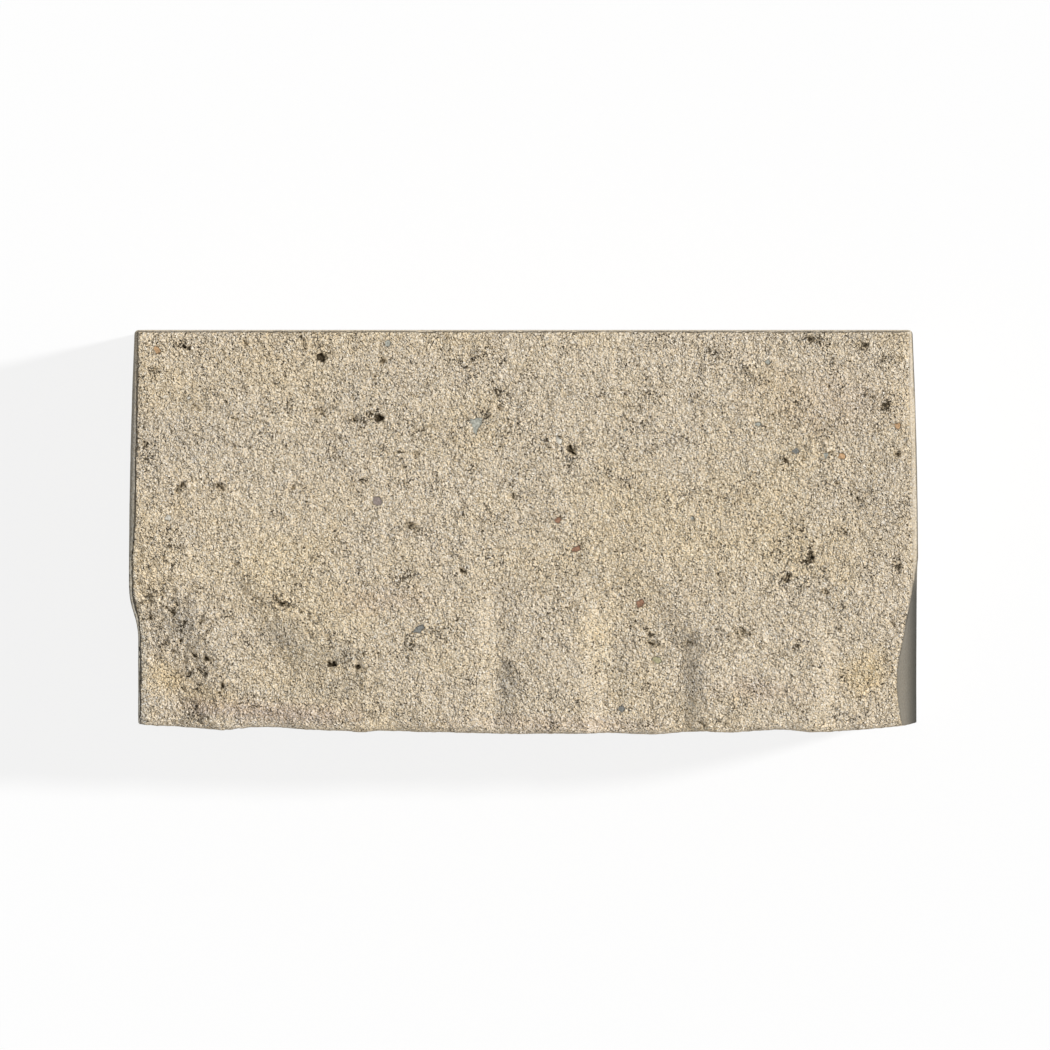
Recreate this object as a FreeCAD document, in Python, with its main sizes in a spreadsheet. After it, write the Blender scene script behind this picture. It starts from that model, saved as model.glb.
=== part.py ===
"""Retaining wall block of split-look concrete, cast in one piece.

The block lies on its lower bed. +X runs along the wall, -Y is the rock face that the
wall shows, +Y is the straight back, and +Z is up. The origin is at the middle of the
block's box on the lower bed. All sizes are in millimetres.
"""
import FreeCAD
import Part
import math
import os

import Sketcher
from FreeCAD import Vector

SIZES = (
    # The moulded body in plan
    ("block_width", 400.0, "widest, across the front third"),
    ("block_depth", 205.4, "from the back to the farthest point of the rock face"),
    ("block_height", 150.0, "from bed to bed"),
    ("side_taper", 2.9, "what each side draws in at the back"),
    ("taper_run", 124.0, "how far the right side's taper reaches from the back"),
    ("corner_radius", 2.5, "of the upright back corners"),
    ("edge_radius", 3.5, "of the top edges along both sides"),
    ("recess_depth", 4.6, "of the set-back in the left side near the face"),
    ("recess_length", 48.3, "from the farthest point of the face to the set-back's curve"),
    ("recess_curve", 27.0, "length of the curve between the side and its set-back"),
    # The rock face and the way it rolls over onto the top
    ("face_fallback", 5.6, "how far the face's corners lie behind its middle"),
    ("crown_start", 96.0, "from the face to where the top begins to fall"),
    ("crown_fall", 2.6, "what the top has fallen by where the roll begins"),
    ("roll_radius", 5.0, "between the top and the face"),
    ("face_swell", 2.5, "unevenness of the face between its high and low places"),
    ("bulge_height", 126.0, "height above the lower bed at which the face reaches farthest"),
    ("face_pillow", 4.0, "how far the face draws back from there to the lower bed"),
    ("cleft_depth", 2.6, "of the hollows between the face's ridges, at the lower bed"),
    ("cleft_spacing", 150.0, "from ridge to ridge along the face"),
    # Hollows and steps pressed into the front of the top
    ("narrow_flute_place", -13.4, "middle of the narrow hollow, from the block's middle"),
    ("narrow_flute_width", 14.0, "across the narrow hollow"),
    ("narrow_flute_depth", 2.6, "of the narrow hollow"),
    ("broad_flute_start", 35.0, "left wall of the broad hollow, from the block's middle"),
    ("broad_flute_width", 50.0, "across the broad hollow"),
    ("broad_flute_depth", 4.6, "of the broad hollow"),
    ("right_step_place", 153.5, "where the top steps down towards the right corner"),
    ("right_step_depth", 4.4, "of that step"),
    ("left_scarp_run", 38.0, "how far the broken left corner reaches along the face"),
    ("left_scarp_reach", 76.0, "how far it reaches back along the side"),
    ("left_scarp_depth", 6.5, "of the broken left corner"),
    ("low_scarp_reach", 140.0, "how far the shallow ledge beside it reaches"),
    ("low_scarp_depth", 2.6, "of that ledge"),
    # The drawn-in wall at the right front corner
    ("corner_slope_inset", 12.0, "most that the top draws in there"),
    ("corner_slope_length", 92.0, "how far it reaches back from the face"),
    ("corner_slope_drop", 60.0, "how far below the top it has run out"),
)

# Along the face: shares of the half width, and shares of the swell by which it lies back there
FACE_OUTLINE = (
    (-1.06, 0.00),
    (-0.98, 0.10),
    (-0.87, 0.55),
    (-0.76, 0.45),
    (-0.68, 1.25),
    (-0.62, 1.35),
    (-0.54, 0.85),
    (-0.45, 0.72),
    (-0.41, 0.36),
    (-0.37, 0.75),
    (-0.20, 0.36),
    (-0.02, 0.06),
    (0.14, 0.14),
    (0.22, 0.32),
    (0.315, 0.00),
    (0.45, 0.55),
    (0.51, 0.34),
    (0.65, 0.84),
    (0.74, 0.02),
    (1.06, 0.00),
)
# Along the right side from the face: shares of the slope's length, and shares of its inset
CORNER_SLOPE = (
    (-0.12, 0.65),
    (0.08, 0.82),
    (0.32, 1.00),
    (0.46, 0.80),
    (0.62, 0.50),
    (0.78, 0.26),
    (1.00, -0.02),
    (1.10, -0.10),
)

# How the shaping solids are drawn: spacing of the rock face's places, what they reach past the
# block, and how near two places must lie to count as one
SKIN_STEP = 6.25
PROFILE_STEP = 5.5
SKIN_MARGIN = 12.0
FOOT_MARGIN = 30.0
FACE_STOCK = 8.0
TOOL_REACH = 60.0
TOOL_MARGIN = 1.0
NEAR = 0.01

# How the top falls towards the face: its first slope, and the line where it starts
CROWN_SLOPE = 0.02
CROWN_WANDER = 6.0
CROWN_WANDER_LENGTH = 37.0
# How the face draws back: towards its ends, from its height of farthest reach, and in its hollows
FALLBACK_POWER = 6
BULGE_WANDER = 0.08
BULGE_WANDER_LENGTH = 31.0
CLEFT_TILT = 0.7
CLEFT_CURL = 0.7
CLEFT_CURL_HEIGHT = 26.0
CLEFT_CURL_RUN = 53.0
# Widths of the steps' walls, and how their lines wander
WALL_WIDTH = 13.0
LEDGE_WIDTH = 14.0
LEDGE_WANDER_LENGTH = 19.0
SCARP_START = 0.62
SCARP_END = 1.22
SCARP_WANDER = 0.03
SCARP_WANDER_LENGTH = 9.0
# Where each form has grown to its full depth, as shares of the top's fall towards the face
NARROW_FLUTE_GROWTH = 0.4
BROAD_FLUTE_GROWTH = 0.6
BROAD_FLUTE_WANDER = 2.0
BROAD_FLUTE_WANDER_LENGTH = 11.0
RIGHT_STEP_GROWTH = (0.2, 0.8)
LEDGE_GROWTH = 0.5
SCARP_GROWTH = 0.25


def make_sheet(doc):
    """Writes the driving dimensions into a spreadsheet and gives each its name."""
    sheet = doc.addObject("Spreadsheet::Sheet", "Sizes")
    for row, (name, value, meaning) in enumerate(SIZES, start=1):
        sheet.set(f"A{row}", name)
        sheet.set(f"B{row}", str(value))
        sheet.set(f"C{row}", meaning)
        sheet.setAlias(f"B{row}", name)
    doc.recompute()
    return sheet


def origin_plane(body, role):
    """The body's own base plane with the given role."""
    return next(item for item in body.Origin.OriginFeatures if item.Role == role)


def draw_plan(sketch, size):
    """Draws the block in plan, its front edge lying ahead of the rock face."""
    half = size.block_width / 2
    back = size.block_depth / 2
    front = -back - FACE_STOCK
    curve_front = -back + size.recess_length
    curve_back = curve_front + size.recess_curve
    right_start = back - size.taper_run
    up = Vector(0, 0, 1)

    def bow_radius(run):
        return (run * run + size.side_taper**2) / (2 * size.side_taper)

    back_left = Vector(-half + size.side_taper, back, 0)
    back_right = Vector(half - size.side_taper, back, 0)
    right_bend = Vector(half, right_start, 0)
    front_right = Vector(half, front, 0)
    front_left = Vector(-half + size.recess_depth, front, 0)
    recess_end = Vector(-half + size.recess_depth, curve_front, 0)
    left_bend = Vector(-half, curve_back, 0)

    right_bow = bow_radius(size.taper_run)
    right_swing = math.asin(size.taper_run / right_bow)
    left_run = back - curve_back
    left_bow = bow_radius(left_run)
    left_swing = math.asin(left_run / left_bow)
    turn_radius = (size.recess_curve**2 + size.recess_depth**2) / (4 * size.recess_depth)
    turn = math.asin(size.recess_curve / 2 / turn_radius)

    def arc(centre, radius, start, end):
        return Part.ArcOfCircle(Part.Circle(centre, up, radius), start, end)

    back_edge, right_arc, right_edge, front_edge, recess_edge, inner_arc, outer_arc, left_arc = (
        sketch.addGeometry(shape, False)
        for shape in (
            Part.LineSegment(back_left, back_right),
            arc(right_bend - Vector(right_bow, 0, 0), right_bow, 0, right_swing),
            Part.LineSegment(right_bend, front_right),
            Part.LineSegment(front_right, front_left),
            Part.LineSegment(front_left, recess_end),
            arc(recess_end - Vector(turn_radius, 0, 0), turn_radius, 0, turn),
            arc(left_bend + Vector(turn_radius, 0, 0), turn_radius, math.pi, math.pi + turn),
            arc(left_bend + Vector(left_bow, 0, 0), left_bow, math.pi - left_swing, math.pi),
        )
    )
    start, end, middle = 1, 2, 3
    for joint in (
        (back_edge, end, right_arc, end),
        (right_edge, end, front_edge, start),
        (front_edge, end, recess_edge, start),
        (left_arc, start, back_edge, start),
    ):
        sketch.addConstraint(Sketcher.Constraint("Coincident", *joint))
    for joint in (
        (right_arc, start, right_edge, start),
        (recess_edge, end, inner_arc, start),
        (inner_arc, end, outer_arc, end),
        (outer_arc, start, left_arc, end),
    ):
        sketch.addConstraint(Sketcher.Constraint("Tangent", *joint))
    sketch.addConstraint(Sketcher.Constraint("Equal", inner_arc, outer_arc))
    sketch.addConstraint(Sketcher.Constraint("Horizontal", left_arc, middle, left_arc, end))
    for edge in (back_edge, front_edge):
        sketch.addConstraint(Sketcher.Constraint("Horizontal", edge))
    for edge in (right_edge, recess_edge):
        sketch.addConstraint(Sketcher.Constraint("Vertical", edge))

    wide = "Sizes.block_width / 2"
    deep = "Sizes.block_depth / 2"
    origin = (-1, 1)

    def place(kind, first, second, formula, value):
        sketch.addConstraint(Sketcher.Constraint(kind, *first, *second, value))
        sketch.setExpression(f"Constraints[{sketch.ConstraintCount - 1}]", formula)

    place("DistanceX", (back_edge, start), origin, f"{wide} - Sizes.side_taper", half - size.side_taper)
    place("DistanceX", origin, (back_edge, end), f"{wide} - Sizes.side_taper", half - size.side_taper)
    place("DistanceX", origin, (right_edge, start), wide, half)
    place("DistanceX", (left_arc, end), origin, wide, half)
    place("DistanceX", (recess_edge, end), origin, f"{wide} - Sizes.recess_depth", half - size.recess_depth)
    place("DistanceY", origin, (back_edge, end), deep, back)
    place("DistanceY", (front_edge, start), origin, f"{deep} + {FACE_STOCK}", -front)
    place("DistanceY", (recess_edge, end), origin, f"{deep} - Sizes.recess_length", -curve_front)
    place("DistanceY", (right_edge, start), (right_arc, end), "Sizes.taper_run", size.taper_run)
    place("DistanceY", (recess_edge, end), (left_arc, end), "Sizes.recess_curve", size.recess_curve)


def make_body(doc, size):
    """The moulded body: the plan raised to full height, its corners and side edges rounded."""
    body = doc.addObject("PartDesign::Body", "MouldedBody")
    sketch = body.newObject("Sketcher::SketchObject", "Plan")
    sketch.AttachmentSupport = (origin_plane(body, "XY_Plane"), "")
    sketch.MapMode = "FlatFace"
    draw_plan(sketch, size)
    pad = body.newObject("PartDesign::Pad", "Height")
    pad.Profile = sketch
    pad.setExpression("Length", "Sizes.block_height")
    sketch.Visibility = False
    doc.recompute()

    corners = body.newObject("PartDesign::Fillet", "BackCorners")
    corners.Base = (pad, back_corner_edges(pad.Shape, size))
    corners.setExpression("Radius", "Sizes.corner_radius")
    doc.recompute()

    edges = body.newObject("PartDesign::Fillet", "SideEdges")
    edges.Base = (corners, side_top_edges(corners.Shape, size))
    edges.setExpression("Radius", "Sizes.edge_radius")
    body.Tip = edges
    doc.recompute()
    return body


def back_corner_edges(shape, size):
    """Names of the two upright edges at the back."""
    back = size.block_depth / 2
    return [
        f"Edge{number}"
        for number, edge in enumerate(shape.Edges, start=1)
        if edge.BoundBox.ZLength > size.block_height / 2 and edge.BoundBox.YMin > back - size.corner_radius
    ]


def side_top_edges(shape, size):
    """Names of the top edges along both sides, without the back and front ones."""
    names = []
    for number, edge in enumerate(shape.Edges, start=1):
        box = edge.BoundBox
        on_top = box.ZMin > size.block_height - NEAR
        along_side = box.YLength > box.XLength and abs(box.Center.x) > size.block_width / 4
        if on_top and along_side:
            names.append(f"Edge{number}")
    return names


def smooth_step(value, start, end):
    """Rises from 0 at start to 1 at end without a kink."""
    share = min(1, max(0, (value - start) / (end - start)))
    return share * share * (3 - 2 * share)


def along(points, place):
    """Height of a smooth line through the points at the given place."""
    for (left, low), (right, high) in zip(points, points[1:]):
        if place <= right:
            return low + (high - low) * smooth_step(place, left, right)
    return points[-1][1]


def face_setback(size, across, height):
    """How far the face lies behind its farthest point."""
    share = across / (size.block_width / 2)
    rounding = size.face_fallback * abs(share) ** FALLBACK_POWER
    swell = size.face_swell * along(FACE_OUTLINE, share)
    bulge = size.bulge_height * (1 + BULGE_WANDER * math.sin(across / BULGE_WANDER_LENGTH))
    lean = abs(height - bulge) / size.bulge_height
    turn = across + CLEFT_TILT * height
    curl = CLEFT_CURL * (math.sin(height / CLEFT_CURL_HEIGHT) + math.sin(across / CLEFT_CURL_RUN))
    hollow = math.cos(math.pi * turn / size.cleft_spacing + curl) ** 2
    cleft = size.cleft_depth * hollow * smooth_step(lean, 0, 1)
    return rounding + swell + size.face_pillow * lean * lean + cleft


def top_fall(size, across, behind):
    """How far the top has fallen, at a distance behind the face's farthest point."""
    start = size.crown_start + CROWN_WANDER * math.sin(across / CROWN_WANDER_LENGTH)
    ahead = start - behind
    reach = start - size.roll_radius
    crown = (size.crown_fall - CROWN_SLOPE * reach) * (max(0, ahead) / reach) ** 2
    fall = CROWN_SLOPE * ahead + crown
    fall += narrow_flute(size, across) * smooth_step(ahead, 0, reach * NARROW_FLUTE_GROWTH)
    fall += broad_flute(size, across, ahead) * smooth_step(ahead, 0, reach * BROAD_FLUTE_GROWTH)
    step = wall_at(across, size.right_step_place) * size.right_step_depth
    fall += step * smooth_step(ahead, reach * RIGHT_STEP_GROWTH[0], reach * RIGHT_STEP_GROWTH[1])
    from_left = across + size.block_width / 2
    fall += low_ledge(size, from_left, behind) * smooth_step(ahead, 0, reach * LEDGE_GROWTH)
    fall += broken_corner(size, from_left, behind) * smooth_step(ahead, 0, reach * SCARP_GROWTH)
    return fall


def wall_at(value, place):
    """Rises from 0 to 1 over one wall's width round the place."""
    return smooth_step(value, place - WALL_WIDTH / 2, place + WALL_WIDTH / 2)


def narrow_flute(size, across):
    """Depth of the narrow hollow."""
    away = (across - size.narrow_flute_place) / (size.narrow_flute_width / 2)
    return size.narrow_flute_depth * math.exp(-away * away)


def broad_flute(size, across, ahead):
    """Depth of the broad hollow, whose right wall runs out to the side from its head."""
    wander = BROAD_FLUTE_WANDER * math.sin(ahead / BROAD_FLUTE_WANDER_LENGTH)
    width = min(size.broad_flute_width, max(0, ahead + wander))
    left = wall_at(across, size.broad_flute_start)
    right = wall_at(across, size.broad_flute_start + width)
    return size.broad_flute_depth * (left - right)


def low_ledge(size, from_left, behind):
    """Depth of the shallow ledge beside the broken corner."""
    wander = LEDGE_WIDTH * math.sin(from_left / LEDGE_WANDER_LENGTH)
    line = size.low_scarp_reach + wander - from_left - behind
    return size.low_scarp_depth * smooth_step(line, 0, LEDGE_WIDTH)


def broken_corner(size, from_left, behind):
    """Depth of the broken left corner, within a quarter of an ellipse."""
    reach = math.hypot(from_left / size.left_scarp_run, behind / size.left_scarp_reach)
    reach += SCARP_WANDER * math.sin(from_left / SCARP_WANDER_LENGTH)
    return size.left_scarp_depth * (1 - smooth_step(reach, SCARP_START, SCARP_END))


def rock_profile(size):
    """Evenly spaced (y, z) places on the plain profile: back along the top, round, and down the face."""
    front = -size.block_depth / 2
    radius = size.roll_radius
    top_run = size.crown_start + 2 * SKIN_MARGIN - radius
    turn_run = radius * math.pi / 2
    face_run = size.block_height - radius + FOOT_MARGIN
    total = top_run + turn_run + face_run
    count = round(total / PROFILE_STEP)
    for index in range(count + 1):
        run = total * index / count
        if run < top_run:
            yield front + radius + top_run - run, size.block_height
        elif run < top_run + turn_run:
            angle = (run - top_run) / radius
            yield (
                front + radius - radius * math.sin(angle),
                size.block_height - radius + radius * math.cos(angle),
            )
        else:
            yield front, size.block_height - radius - (run - top_run - turn_run)


def rock_face_tool(size):
    """Everything ahead of and above the rock face, as one solid."""
    half = size.block_width / 2 + SKIN_MARGIN
    columns = round(2 * half / SKIN_STEP)
    profile = list(rock_profile(size))
    front = -size.block_depth / 2
    grid = []
    for column in range(columns + 1):
        across = -half + 2 * half * column / columns
        grid.append(
            [
                Vector(
                    across,
                    y + face_setback(size, across, z),
                    z - top_fall(size, across, y - front),
                )
                for y, z in profile
            ]
        )
    skin = Part.BSplineSurface()
    skin.interpolate(grid)
    return skin.toShape().extrude(Vector(0, -TOOL_REACH, TOOL_REACH))


def corner_slope_tool(size):
    """What the drawn-in wall at the right front corner leaves out."""
    front = -size.block_depth / 2
    side = size.block_width / 2
    outer = side + FACE_STOCK

    def outline(height, share):
        inner = Part.BSplineCurve()
        inner.interpolate(
            [
                Vector(
                    side - share * inset * size.corner_slope_inset + (1 - share) * TOOL_MARGIN,
                    front + place * size.corner_slope_length,
                    height,
                )
                for place, inset in CORNER_SLOPE
            ]
        )
        first = inner.StartPoint
        last = inner.EndPoint
        edges = [
            inner.toShape(),
            Part.LineSegment(last, Vector(outer, last.y, height)).toShape(),
            Part.LineSegment(Vector(outer, last.y, height), Vector(outer, first.y, height)).toShape(),
            Part.LineSegment(Vector(outer, first.y, height), first).toShape(),
        ]
        return Part.Wire(edges)

    above = size.block_height + TOOL_MARGIN
    below = size.block_height - size.corner_slope_drop
    return Part.makeLoft([outline(above, 1), outline(below, 0)], True, True)


def make_tool(doc, name, shape):
    """A shaping solid that the block is cut by."""
    tool = doc.addObject("Part::Feature", name)
    tool.Shape = shape
    tool.Placement = FreeCAD.Placement()
    return tool


def cut(doc, name, base, tool):
    """The base with the tool's room taken out of it."""
    result = doc.addObject("Part::Cut", name)
    result.Base = base
    result.Tool = tool
    doc.recompute()
    return result


def check(doc, block):
    """Stops with a plain message if any step failed or the block isn't one sound solid."""
    for item in doc.Objects:
        if {"Invalid", "Error"} & set(item.State):
            raise RuntimeError(f"{item.Name} failed: {item.State}")
    shape = block.Shape
    if shape.isNull() or not shape.isValid() or len(shape.Solids) != 1:
        raise RuntimeError("the block isn't one valid solid")


def main():
    doc = FreeCAD.newDocument("RetainingWallBlock")
    size = make_sheet(doc)
    body = make_body(doc, size)
    faced = cut(doc, "FacedBlock", body, make_tool(doc, "RockFaceTool", rock_face_tool(size)))
    block = cut(doc, "Block", faced, make_tool(doc, "CornerSlopeTool", corner_slope_tool(size)))
    block.Label = "wall_block"
    check(doc, block)
    os.makedirs("parts", exist_ok=True)
    block.Shape.exportStep(f"parts/{block.Label}.step")
    print(f"{block.Label}: {block.Shape.Volume / 1e6:.2f} litres, {len(block.Shape.Faces)} faces")


main()
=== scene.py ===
"""Looks of a retaining wall block: one rough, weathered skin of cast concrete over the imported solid.

The block lies as in the frame: +X along the wall, -Y the rock face, +Z up, all in metres. The
photograph looks straight down on its top, with the rock face towards the picture's lower edge.
"""

import math

import bpy
import numpy as np
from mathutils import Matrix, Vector
from mathutils.bvhtree import BVHTree


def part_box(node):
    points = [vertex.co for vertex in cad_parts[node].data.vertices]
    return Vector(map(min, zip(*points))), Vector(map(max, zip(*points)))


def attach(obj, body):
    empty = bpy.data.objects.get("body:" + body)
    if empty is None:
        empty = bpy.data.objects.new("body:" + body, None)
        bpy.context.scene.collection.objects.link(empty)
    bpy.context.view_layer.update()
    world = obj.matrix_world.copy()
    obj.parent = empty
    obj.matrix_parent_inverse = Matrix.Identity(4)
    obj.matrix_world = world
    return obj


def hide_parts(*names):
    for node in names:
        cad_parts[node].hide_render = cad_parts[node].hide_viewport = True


MM = 0.001

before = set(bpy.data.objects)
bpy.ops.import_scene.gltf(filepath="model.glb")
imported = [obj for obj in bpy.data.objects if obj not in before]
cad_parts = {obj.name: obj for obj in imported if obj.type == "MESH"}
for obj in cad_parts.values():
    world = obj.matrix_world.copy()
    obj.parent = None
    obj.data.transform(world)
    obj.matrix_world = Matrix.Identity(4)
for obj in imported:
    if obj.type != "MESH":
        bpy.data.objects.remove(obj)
cad_low, cad_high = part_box("wall_block")
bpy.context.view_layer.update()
CENTRE = (cad_low + cad_high) / 2
SIZE = cad_high - cad_low
TOP = cad_high.z
FRONT = cad_low.y
BACK = cad_high.y
LEFT = cad_low.x
RIGHT = cad_high.x

# The skin's mesh
CELL = 1.0 * MM
CORE_DEPTH = 45 * MM
MOST_TRIANGLES = 196_000
CHART_GAP = 6 * MM

# The photograph: its frame in pixels, and how large the block is in it
PHOTO_PIXELS = 1050
BLOCK_PIXELS = 790.5
BLOCK_MIDDLE_PIXEL = (523.5, 532.4)
MM_PER_PIXEL = SIZE.x / MM / BLOCK_PIXELS
CAMERA_DISTANCE = 12.0
SENSOR = 36.0

# The broken left front corner: how far it reaches along the face and back along the side, in mm
BROKEN_RUN = 38
BROKEN_REACH = 76
# The set-back in the left side and the wall at the right front corner: the set-back's depth in mm,
# and where each ends behind the face
RECESS_DEPTH = 4.6
RECESS_CURVE = (48 * MM, 75 * MM)
WALL_END = (70 * MM, 95 * MM)

# How far apart the crumbs lie where the top is broken up, and the size of the more open patches
CRUMB_SPACING = 4.0 * MM
OPEN_PATCH_SIZE = 11 * MM

# How far a stone's sides stand out towards the circle round its corners
CORNER_BLUNTNESS = 0.85

SEED = 7


def at_pixel(across, down):
    """The place on the block, in metres, that a pixel of the photograph shows."""
    x = (across - BLOCK_MIDDLE_PIXEL[0]) * MM_PER_PIXEL * MM
    y = (BLOCK_MIDDLE_PIXEL[1] - down) * MM_PER_PIXEL * MM
    return CENTRE.x + x, CENTRE.y + y


# Holes that the photograph shows in the top: pixel across, pixel down, then length, width and
# depth in millimetres and the turn of the long side in degrees
HOLES = (
    (321, 357, 6.0, 5.0, 2.6, -30),
    (304, 347, 4.5, 2.2, 1.4, -60),
    (378, 418, 6.0, 3.6, 2.4, -25),
    (354, 420, 5.0, 2.4, 1.5, -50),
    (318, 412, 7.0, 3.0, 1.0, 0),
    (382, 361, 3.6, 2.4, 1.4, 50),
    (375, 375, 2.4, 2.2, 1.3, 0),
    (365, 345, 2.6, 2.4, 1.2, 0),
    (428, 427, 3.0, 2.2, 1.4, 30),
    (467, 418, 5.0, 1.6, 1.5, -55),
    (498, 408, 3.2, 2.2, 1.4, -60),
    (505, 387, 2.4, 1.8, 1.1, -60),
    (415, 455, 3.2, 2.4, 1.4, -50),
    (403, 467, 3.6, 1.8, 1.2, -20),
    (406, 483, 2.6, 2.2, 1.3, 0),
    (362, 480, 5.5, 1.6, 1.1, 0),
    (293, 488, 3.6, 2.4, 1.2, -40),
    (513, 496, 2.4, 1.8, 1.8, -60),
    (571, 450, 9.0, 3.8, 2.2, -40),
    (186, 347, 5.0, 2.4, 1.8, -45),
    (154, 369, 3.6, 2.2, 1.5, 30),
    (197, 408, 4.4, 2.0, 1.5, -20),
    (236, 418, 4.2, 2.4, 1.4, 20),
    (144, 445, 4.2, 2.6, 1.5, 60),
    (180, 487, 7.5, 2.2, 1.7, 50),
    (220, 487, 6.5, 2.0, 1.5, -45),
    (245, 344, 4.0, 2.6, 1.4, 60),
    (862, 344, 8.0, 3.2, 1.8, -15),
    (811, 339, 4.0, 2.2, 1.6, -50),
    (900, 358, 4.5, 2.6, 1.3, -20),
    (871, 398, 4.0, 2.2, 1.3, 40),
    (885, 405, 4.5, 2.4, 1.3, 0),
    (786, 461, 4.2, 1.8, 1.5, -55),
    (803, 457, 4.2, 1.8, 1.4, 70),
    (831, 453, 6.0, 1.8, 1.5, -40),
    (897, 455, 4.4, 3.0, 1.6, 40),
    (860, 499, 4.6, 1.8, 1.4, -50),
    (836, 484, 2.6, 2.0, 1.1, 0),
    (410, 525, 8.0, 3.0, 1.6, -20),
    (463, 571, 4.6, 2.2, 1.9, -25),
    (331, 664, 7.0, 2.4, 3.2, -22),
    (358, 667, 4.6, 3.6, 1.9, 60),
    (655, 644, 9.0, 2.2, 1.5, -5),
    (684, 643, 5.0, 3.2, 1.6, 10),
    (743, 632, 4.6, 3.0, 1.0, -20),
    (810, 559, 5.2, 3.4, 1.6, 70),
    (786, 578, 7.0, 3.2, 1.4, 50),
    (825, 592, 4.0, 2.4, 1.5, 60),
    (839, 630, 2.6, 2.4, 1.7, 0),
    (200, 622, 5.0, 2.4, 1.5, 30),
    (193, 655, 5.5, 2.0, 2.0, -40),
    (206, 659, 3.6, 2.2, 1.8, -30),
    (221, 686, 3.6, 2.4, 1.9, 60),
    (170, 612, 6.0, 2.2, 1.3, -30),
    (281, 603, 5.0, 2.6, 1.5, -40),
    (899, 566, 5.0, 3.0, 1.6, 40),
)

# Places where the top is broken up into crumbs: pixel across, pixel down, length and width in
# millimetres, turn in degrees, strength
CRUSTS = (
    (165, 608, 30, 9, -35, 1.0),
    (205, 626, 16, 9, 30, 0.9),
    (188, 650, 32, 9, -35, 1.0),
    (215, 676, 24, 8, -38, 0.9),
    (150, 655, 14, 11, 0, 0.7),
    (143, 568, 12, 14, 0, 0.6),
    (281, 602, 16, 9, -20, 1.0),
    (240, 596, 26, 5, -12, 0.6),
    (328, 634, 36, 6, -5, 0.6),
    (359, 668, 9, 12, 20, 0.9),
    (374, 690, 24, 7, -45, 0.6),
    (258, 714, 8, 7, 0, 0.7),
    (222, 716, 8, 6, 0, 0.6),
    (320, 716, 30, 6, 0, 0.5),
    (564, 602, 16, 9, 20, 0.9),
    (592, 612, 20, 6, 25, 0.6),
    (572, 648, 14, 6, -20, 0.9),
    (662, 644, 30, 6, -3, 1.0),
    (685, 548, 8, 9, 60, 0.8),
    (742, 633, 13, 8, 25, 1.0),
    (810, 558, 10, 14, 0, 0.9),
    (785, 577, 24, 9, 50, 0.9),
    (903, 567, 12, 12, 0, 0.9),
    (893, 623, 22, 9, 0, 0.8),
    (862, 687, 30, 13, -8, 0.8),
    (888, 665, 14, 14, 0, 0.7),
    (797, 650, 12, 6, -40, 0.6),
    (672, 688, 15, 12, 0, 0.5),
    (715, 724, 34, 6, 0, 0.8),
    (548, 727, 12, 5, 0, 0.8),
    (180, 483, 30, 12, -15, 0.8),
    (222, 486, 16, 9, -30, 0.7),
    (188, 348, 16, 8, -30, 0.8),
    (320, 352, 26, 12, -20, 0.8),
    (372, 418, 34, 9, -10, 0.8),
    (404, 470, 14, 18, 10, 0.7),
    (862, 344, 16, 9, -15, 0.8),
    (888, 402, 22, 10, 20, 0.7),
    (830, 455, 30, 9, -20, 0.7),
    (857, 497, 22, 10, -30, 0.7),
    (571, 452, 12, 7, -40, 0.8),
)

# Stones that show in the top: pixel across, pixel down, length, width in millimetres, turn of a
# corner in degrees, number of corners, kind
STONES = (
    (476, 424, 9.6, 7.0, -92, 3, "grey"),
    (418, 629, 7.4, 3.2, 22, 4, "slate"),
    (377, 501, 5.0, 4.4, 0, 5, "plum"),
    (168, 518, 3.6, 3.2, 30, 4, "white"),
    (640, 603, 4.6, 4.2, 60, 4, "rust"),
    (558, 520, 3.6, 3.0, 0, 5, "rust"),
    (577, 549, 5.4, 2.8, 20, 5, "rust"),
    (842, 456, 3.8, 3.2, 0, 5, "ochre"),
    (898, 426, 4.2, 3.4, 50, 4, "ochre"),
    (157, 350, 4.4, 2.8, -60, 5, "ochre"),
    (796, 451, 3.6, 3.0, 0, 4, "slate"),
    (826, 455, 3.6, 3.0, 30, 3, "grey"),
    (768, 362, 3.6, 2.8, 0, 4, "grey"),
    (625, 429, 3.0, 2.6, 0, 3, "grey"),
    (622, 709, 3.6, 3.4, 0, 4, "slate"),
    (758, 424, 3.0, 2.4, 0, 5, "grey"),
    (188, 398, 3.4, 2.2, 0, 4, "white"),
    (559, 440, 2.6, 4.4, 10, 5, "white"),
    (657, 660, 4.6, 3.6, 0, 5, "olive"),
    (694, 519, 3.8, 2.8, 20, 4, "grey"),
    (388, 343, 3.4, 3.0, 40, 5, "grey"),
)
STONE_COLOURS = {
    "grey": (0.43, 0.43, 0.37),
    "slate": (0.24, 0.24, 0.22),
    "white": (0.66, 0.62, 0.53),
    "rust": (0.34, 0.19, 0.12),
    "ochre": (0.55, 0.35, 0.19),
    "plum": (0.34, 0.28, 0.25),
    "olive": (0.48, 0.44, 0.27),
}

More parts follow.
